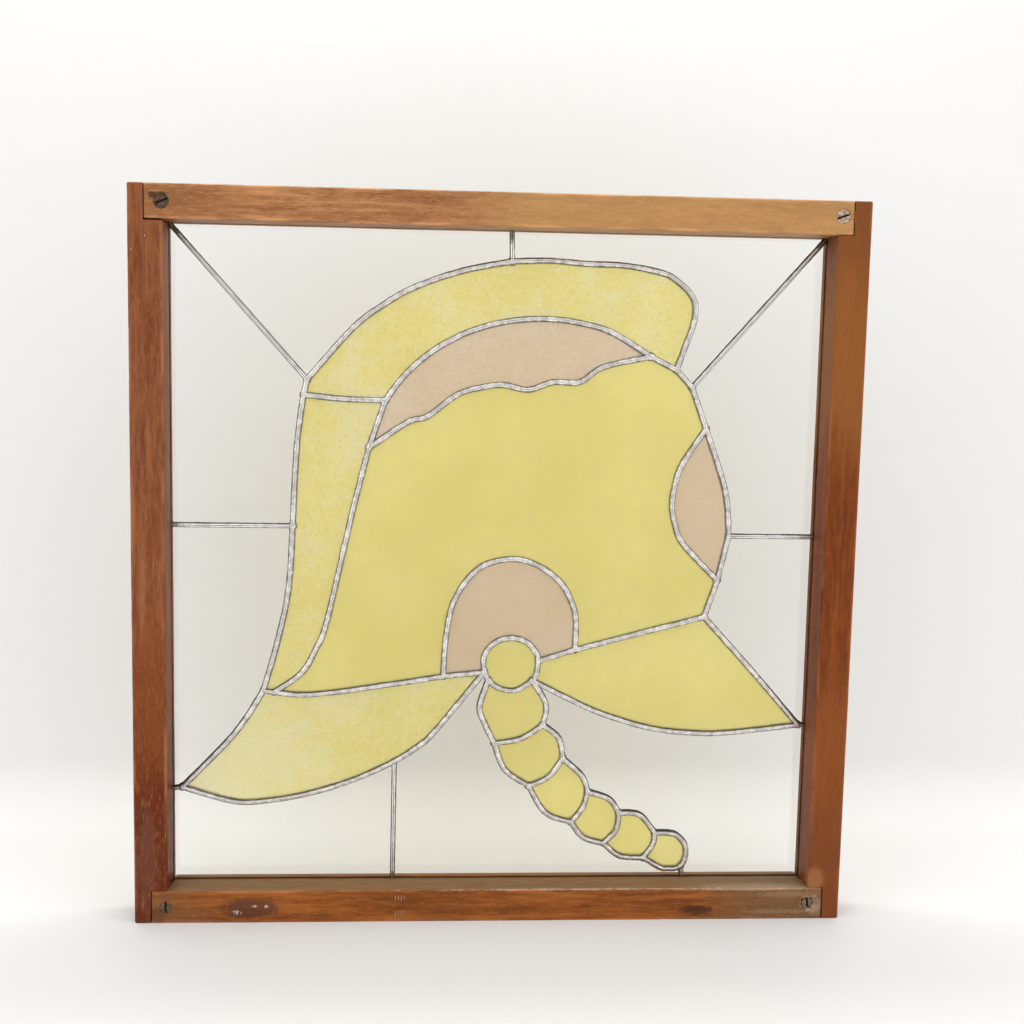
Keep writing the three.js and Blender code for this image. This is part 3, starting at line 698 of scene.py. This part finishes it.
class TimberFrame(bpy.types.Operator):
    """Makes the two stiles and the two rails of the frame in worn, varnished hardwood"""

    bl_idname = "stained_window.timber_frame"
    bl_label = "Timber Frame"

    def execute(self, context):
        sizes = context.scene.window_sizes
        colours = context.scene.window_colours
        # Colour of real stains, and of the painted shade round the screws
        stain_and_shade = (0.03, 0.014, 0.01)
        chip = (0.7, 0.62, 0.52)
        splinter = (0.5, 0.37, 0.24)
        bottom_marks = [
            ((-0.170, FRONT, 0.0103), (0.0215, 0.01, 0.0074), 0.7, 300.0, (0.09, 0.034, 0.022), 0.75),
            ((0.147, FRONT, 0.007), (0.013, 0.01, 0.0036), 0.9, 420.0, stain_and_shade, 0.7),
            ((-0.1792, FRONT, 0.0077), (0.0020, 0.01, 0.0010), 6.0, 1100.0, chip, 0.75),
            ((-0.1668, FRONT, 0.0119), (0.0010, 0.01, 0.0007), 6.0, 1100.0, chip, 0.65),
            ((-0.1588, FRONT, 0.0119), (0.0012, 0.01, 0.0008), 6.0, 1100.0, chip, 0.65),
            ((0.2325, FRONT, 0.0105), (0.0055, 0.01, 0.0065), 2.0, 420.0, splinter, 0.5),
            ((0.2345, FRONT, 0.006), (0.0025, 0.01, 0.0045), 0.7, 700.0, (0.3, 0.2, 0.1), 0.45),
            ((-0.2335, FRONT, 0.006), (0.006, 0.01, 0.006), 1.0, 500.0, stain_and_shade, 0.35),
            ((0.08, FRONT, 0.0228), (0.13, 0.002, 0.0005), 3.0, 240.0, chip, 0.35),
            ((0.19, FRONT, 0.0225), (0.05, 0.01, 0.0012), 1.4, 900.0, splinter, 0.5),
            ((0.212, FRONT, 0.0185), (0.022, 0.01, 0.0022), 2.6, 700.0, splinter, 0.2),
            ((0.205, FRONT, 0.0055), (0.026, 0.01, 0.0016), 2.8, 620.0, splinter, 0.18),
            ((0.228, FRONT, 0.0125), (0.013, 0.01, 0.0035), 2.4, 650.0, (0.1, 0.05, 0.022), 0.4),
        ]
        for i in range(4):
            for height in (0.017, 0.006):
                tick = (-0.0685 + 2.1 * MM * i, FRONT, height + 0.4 * MM * (i % 2))
                bottom_marks.append((tick, (0.3 * MM, 0.01, 2 * MM), 0.8, 900.0, splinter, 0.6))
        top_marks = [
            ((-0.2332, FRONT, 0.4990), (0.0032, 0.01, 0.0024), 1.0, 700.0, stain_and_shade, 0.75),
            ((-0.2275, FRONT, 0.5004), (0.0045, 0.01, 0.0011), 0.9, 700.0, stain_and_shade, 0.5),
        ]
        left_marks = [
            ((-0.2385, FRONT, 0.4725), (0.0003, 0.01, 0.0007), 0.8, 900.0, chip, 0.8),
            ((-0.2475, FRONT, 0.4635), (0.0003, 0.01, 0.0006), 0.8, 900.0, chip, 0.7),
            ((-0.2415, FRONT, 0.045), (0.008, 0.01, 0.04), 1.6, 120.0, (0.2, 0.1, 0.07), 0.25),
        ]
        right_marks = [
            ((0.2315, FRONT, 0.029), (0.0075, 0.01, 0.0095), 0.4, 300.0, (0.42, 0.18, 0.07), 0.5),
        ]
        # A thin dark ring round each screw head: painted shade in the countersink
        for screw in screw_places():
            centre, reach = screw["centre"], screw["head"] / 2 * 0.94
            ring = ((centre.x, FRONT, centre.z), (reach, 0.01, reach), 0.2, 900.0, stain_and_shade, 0.8)
            marks = top_marks if "top" in screw["name"] else bottom_marks
            marks.insert(0, ring)
            if screw["crater"] > 3 * MM:
                marks.insert(0, (ring[0], (reach * 1.55, 0.01, reach * 1.55), 1.5, 620.0, splinter, 0.8))
        members = (
            ("stile_left", "timber_stile_left", colours.left_stile, (0.17, 0.05, 0.018), True, 3,
             [(0.24, 0.16, (0.23, 0.055, 0.011), 0.8), (0.16, 0.1, (0.14, 0.022, 0.005), 0.85)], left_marks),
            ("stile_right", "timber_stile_right", colours.right_stile, (0.14, 0.03, 0.005), True, 11,
             [(0.31, 0.38, (0.34, 0.12, 0.028), 0.8), (0.43, 0.48, (0.22, 0.066, 0.018), 0.7),
              (0.2, 0.13, (0.3, 0.088, 0.018), 0.7), (0.1, 0.05, (0.22, 0.06, 0.017), 0.7)], right_marks),
            ("rail_top", "timber_rail_top", colours.top_rail, (0.28, 0.112, 0.041), False, 23,
             [(-0.03, 0.03, (0.56, 0.305, 0.112), 0.75), (-0.17, -0.22, (0.32, 0.13, 0.05), 0.7)], top_marks),
            ("rail_bottom", "timber_rail_bottom", colours.bottom_rail, (0.17, 0.046, 0.01), False, 37,
             [(0.12, 0.2, (0.215, 0.112, 0.05), 0.92), (-0.18, -0.24, (0.23, 0.1, 0.045), 0.65)],
             bottom_marks),
        )
        for node_name, name, light, dark, upright, seed, washes, marks in members:
            slot = "stile_wood" if upright else "rail_wood"
            material = timber_material(name + "_wood", tuple(light), dark, upright, seed, washes, marks)
            piece = worn_timber(node_name, name, upright, sizes, seed)
            finish_piece(piece, [node_name], slot, material)
        return {"FINISHED"}


# Screws


def screw_places():
    """Where each screw is, how big its head is, which way its slot lies and how worn its hole is."""
    rows = (
        ("screw_top_left", 22, 1.6, 0.35, (0.12, 0.075, 0.042)),
        ("screw_top_right", 20, 1.2, 0.2, (0.68, 0.48, 0.34)),
        ("screw_bottom_left", 90, 1.2, 0.3, (0.22, 0.135, 0.085)),
        ("screw_bottom_right", 96, 4.2, 1.5, (0.27, 0.18, 0.115)),
    )
    places = []
    for name, turn, crater, depth, colour in rows:
        low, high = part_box(name)
        centre = (Vector(low) + Vector(high)) / 2
        places.append({
            "name": name, "centre": centre, "head": high[0] - low[0], "front": low[1], "back": high[1],
            "turn": math.radians(turn), "crater": crater * MM, "crater_depth": depth * MM, "colour": colour,
        })
    return places


def screw_tree():
    """Geometry Nodes for a countersunk, slotted wood screw, its head towards +Z at the origin."""
    tree = bpy.data.node_groups.new("Slotted screw", "GeometryNodeTree")
    interface = tree.interface
    for name in ("Head", "Shank", "Length", "Slot Width", "Slot Depth"):
        interface.new_socket(name, in_out="INPUT", socket_type="NodeSocketFloat")
    interface.new_socket("Sides", in_out="INPUT", socket_type="NodeSocketInt")
    interface.new_socket("Material", in_out="INPUT", socket_type="NodeSocketMaterial")
    interface.new_socket("Screw", in_out="OUTPUT", socket_type="NodeSocketGeometry")
    given = tree.nodes.new("NodeGroupInput").outputs

    def half(value):
        return maths(tree, "MULTIPLY", value, 0.5)

    def moved(mesh, z):
        place = add_node(tree, "ShaderNodeCombineXYZ", {"Z": z})
        return add_node(tree, "GeometryNodeTransform", {"Geometry": mesh, "Translation": place})

    rim = 0.35 * MM
    cone_depth = half(maths(tree, "SUBTRACT", given["Head"], given["Shank"]))
    shank_length = maths(tree, "SUBTRACT", maths(tree, "SUBTRACT", given["Length"], cone_depth), rim)
    cone = add_node(tree, "GeometryNodeMeshCone", {
        "Vertices": given["Sides"], "Radius Top": half(given["Head"]), "Radius Bottom": half(given["Shank"]),
        "Depth": cone_depth, "Side Segments": 3})
    cone_low = maths(tree, "SUBTRACT", -rim, cone_depth)
    disc = add_node(tree, "GeometryNodeMeshCylinder", {
        "Vertices": given["Sides"], "Radius": half(given["Head"]), "Depth": rim, "Fill Segments": 6})
    shank = add_node(tree, "GeometryNodeMeshCylinder", {
        "Vertices": given["Sides"], "Radius": half(given["Shank"]), "Depth": shank_length})
    shank_middle = maths(tree, "SUBTRACT", cone_low, half(shank_length))
    union = add_node(tree, "GeometryNodeMeshBoolean", operation="UNION", solver="EXACT")
    tree.links.new(moved(cone, cone_low).outputs[0], union.inputs["Mesh 2"])
    tree.links.new(moved(disc, -rim / 2).outputs[0], union.inputs["Mesh 2"])
    tree.links.new(moved(shank, shank_middle).outputs[0], union.inputs["Mesh 2"])
    slot_size = add_node(tree, "ShaderNodeCombineXYZ", {
        "X": maths(tree, "MULTIPLY", given["Head"], 2.0), "Y": given["Slot Width"],
        "Z": maths(tree, "MULTIPLY", given["Slot Depth"], 2.0)})
    slot = add_node(tree, "GeometryNodeMeshCube", {"Size": slot_size})
    cut = add_node(tree, "GeometryNodeMeshBoolean", {"Mesh 1": union, "Mesh 2": slot},
                   operation="DIFFERENCE", solver="EXACT")
    real = add_node(tree, "GeometryNodeRealizeInstances", {"Geometry": cut})
    painted = add_node(tree, "GeometryNodeSetMaterial", {"Geometry": real, "Material": given["Material"]})
    last = tree.nodes.new("NodeGroupOutput")
    tree.links.new(painted.outputs[0], last.inputs[0])
    return tree


def screw_material(name, colour, seed, front):
    """Tarnished, scuffed metal, with painted shade down in the slot."""
    material, tree, shader, coords = start_material(name)
    shifted = stretched(tree, coords, (1, 1, 1), (seed, 0, 0))
    tarnish = noise_at(tree, shifted, 500.0, 3.0, 0.6)
    scuff = noise_at(tree, stretched(tree, shifted, (900, 300, 2600)), 1.0, 2.0)
    tone = blended(tree, ramp(tree, tarnish, 0.38, 0.62), tuple(c * 0.35 for c in colour), colour)
    tone = blended(tree, ramp(tree, scuff, 0.58, 0.72, 0.0, 0.7), tone,
                   tuple(min(1.0, c * 2.4) for c in colour))
    # Painted shade down in the slot
    deep = add_node(tree, "ShaderNodeSeparateXYZ", {0: coords}).outputs["Y"]
    tone = blended(tree, ramp(tree, deep, front + 0.15 * MM, front + 0.7 * MM), tone, (0.012, 0.009, 0.007))
    tree.links.new(tone, shader.inputs["Base Color"])
    shader.inputs["Metallic"].default_value = 0.65
    tree.links.new(ramp(tree, tarnish, 0.3, 0.7, 0.55, 0.3).outputs[0], shader.inputs["Roughness"])
    bump(tree, shader, maths(tree, "ADD", tarnish, scuff), 0.25 * MM, 0.6)
    return material


class Screws(bpy.types.Operator):
    """Drives a slotted screw through each corner lap"""

    bl_idname = "stained_window.screws"
    bl_label = "Screws"

    def execute(self, context):
        tree = screw_tree()
        for seed, place in enumerate(screw_places()):
            material = screw_material("tarnished_" + place["name"], place["colour"], seed, place["front"])
            carrier = bpy.data.objects.new("screw_carrier", bpy.data.meshes.new("screw_carrier"))
            context.scene.collection.objects.link(carrier)
            modifier = carrier.modifiers.new("Screw", "NODES")
            modifier.node_group = tree
            set_inputs(modifier, {
                "Head": place["head"], "Shank": SCREW_SHANK, "Length": place["back"] - place["front"],
                "Slot Width": SCREW_SLOT_WIDTH, "Slot Depth": SCREW_SLOT_DEPTH,
                "Sides": context.scene.window_sizes.screw_sides, "Material": material,
            })
            piece = plain_mesh(carrier, "slotted_" + place["name"])
            turn = Matrix.Rotation(-place["turn"], 4, "Y") @ Matrix.Rotation(math.pi / 2, 4, "X")
            spot_on_frame = Vector((place["centre"].x, place["front"], place["centre"].z))
            piece.data.transform(Matrix.Translation(spot_on_frame) @ turn)
            piece.data.shade_flat()
            finish_piece(piece, [place["name"]], "screw_metal", material)
        return {"FINISHED"}


# Floor, light and camera


def cloth_material(colour):
    """Matt pale cloth, which can be looked through from behind."""
    material, tree, shader, coords = start_material("pale_cloth")
    soft = noise_at(tree, coords, 3.0, 2.0)
    tone = blended(tree, ramp(tree, soft, 0.35, 0.65), tuple(c * 0.985 for c in colour), colour)
    tree.links.new(tone, shader.inputs["Base Color"])
    shader.inputs["Roughness"].default_value = 0.9
    shader.inputs["Specular IOR Level"].default_value = 0.1
    behind = add_node(tree, "ShaderNodeNewGeometry").outputs["Backfacing"]
    surface = add_node(tree, "ShaderNodeMixShader", {0: behind, 1: shader.outputs[0]})
    tree.links.new(add_node(tree, "ShaderNodeBsdfTransparent").outputs[0], surface.inputs[2])
    output = next(node for node in tree.nodes if node.type == "OUTPUT_MATERIAL")
    tree.links.new(surface.outputs[0], output.inputs["Surface"])
    return material


def area_light(name, place, target, size, energy, colour=(1, 1, 1)):
    """A soft rectangular light, in watts, turned towards its target."""
    light = bpy.data.lights.new(name, "AREA")
    light.shape = "RECTANGLE"
    light.size, light.size_y = size
    light.energy = energy
    light.color = colour
    lamp = bpy.data.objects.new(name, light)
    lamp.location = place
    lamp.rotation_euler = (Vector(target) - Vector(place)).to_track_quat("-Z", "Y").to_euler()
    bpy.context.scene.collection.objects.link(lamp)


class Studio(bpy.types.Operator):
    """Sets out the pale floor and backdrop, the soft lights and the camera"""

    bl_idname = "stained_window.studio"
    bl_label = "Studio"

    def execute(self, context):
        scene = context.scene
        # The floor curves up into a backdrop behind the window
        backdrop, radius, steps = 0.2, 0.05, 12
        reach, top = 3.0, 2.2
        profile = [(-reach, 0.0)]
        for i in range(steps + 1):
            angle = math.pi / 2 * i / steps
            profile.append((backdrop - radius + radius * math.sin(angle), radius - radius * math.cos(angle)))
        profile.append((backdrop, top))
        points = [(x, y, z) for y, z in profile for x in (-reach, reach)]
        faces = [(2 * i, 2 * i + 1, 2 * i + 3, 2 * i + 2) for i in range(len(profile) - 1)]
        mesh = bpy.data.meshes.new("pale_floor")
        mesh.from_pydata(points, [], faces)
        mesh.shade_smooth()
        mesh.materials.append(cloth_material(tuple(scene.window_colours.floor)))
        floor = bpy.data.objects.new("pale_floor", mesh)
        scene.collection.objects.link(floor)

        world = bpy.data.worlds.new("studio")
        world.use_nodes = True
        sky = world.node_tree
        way = add_node(sky, "ShaderNodeTexCoord").outputs["Generated"]
        towards_back = add_node(sky, "ShaderNodeSeparateXYZ", {0: way}).outputs["Y"]
        light = blended(sky, ramp(sky, towards_back, -0.95, -0.3), (0.9, 0.905, 0.905), (0.97, 0.978, 0.985))
        sky.links.new(light, sky.nodes["Background"].inputs["Color"])
        scene.world = world
        area_light("overhead_softbox", (0.1, -0.9, 2.0), (0.1, -0.7, 0), (2.4, 1.8), 6, (0.99, 0.99, 1))
        area_light("left_softbox", (-1.7, -1.3, 1.1), (0, 0, 0.25), (1.4, 1.6), 4.8)
        area_light("right_softbox", (1.8, -1.2, 1.0), (0, 0, 0.25), (1.2, 1.6), 3.3)
        area_light("rear_softbox", (0.0, 0.14, 1.1), (0, 0.14, 0), (0.7, 0.1), 2.7, (1, 0.97, 0.88))

        camera = bpy.data.cameras.new("photo_view")
        camera.lens = 43.0
        camera.sensor_width = 36.0
        camera.shift_x = 0.0385
        camera.shift_y = -0.0052
        camera.clip_start = 0.05
        viewer = bpy.data.objects.new("photo_view", camera)
        viewer.location = (-0.06608, -0.84676, 0.38154)
        viewer.rotation_euler = Euler([math.radians(a) for a in (84.0895, -1.0042, -3.1482)], "XYZ")
        scene.collection.objects.link(viewer)
        scene.camera = viewer
        scene.view_settings.view_transform = "Standard"
        return {"FINISHED"}


class WindowPanel(bpy.types.Panel):
    """The window's settings and the steps that build it"""

    bl_idname = "VIEW3D_PT_stained_window"
    bl_label = "Stained Glass Window"
    bl_space_type = "VIEW_3D"
    bl_region_type = "UI"
    bl_category = "Window"

    def draw(self, context):
        for group in (context.scene.window_sizes, context.scene.window_colours):
            column = self.layout.column(align=True)
            for name in group.__annotations__:
                column.prop(group, name)
        for step in STEPS:
            self.layout.operator(step.bl_idname)


STEPS = (Studio, SolderSeams, GlassPieces, TimberFrame, Screws)
CLASSES = (WindowSizes, WindowColours, *STEPS, WindowPanel)


def register():
    for cls in CLASSES:
        bpy.utils.register_class(cls)
    bpy.types.Scene.window_sizes = PointerProperty(type=WindowSizes)
    bpy.types.Scene.window_colours = PointerProperty(type=WindowColours)


def unregister():
    del bpy.types.Scene.window_colours
    del bpy.types.Scene.window_sizes
    for cls in reversed(CLASSES):
        bpy.utils.unregister_class(cls)


def main():
    register()
    bpy.ops.stained_window.studio()
    bpy.ops.stained_window.solder_seams()
    bpy.ops.stained_window.glass_pieces()
    bpy.ops.stained_window.timber_frame()
    bpy.ops.stained_window.screws()


if __name__ == "__main__":
    main()
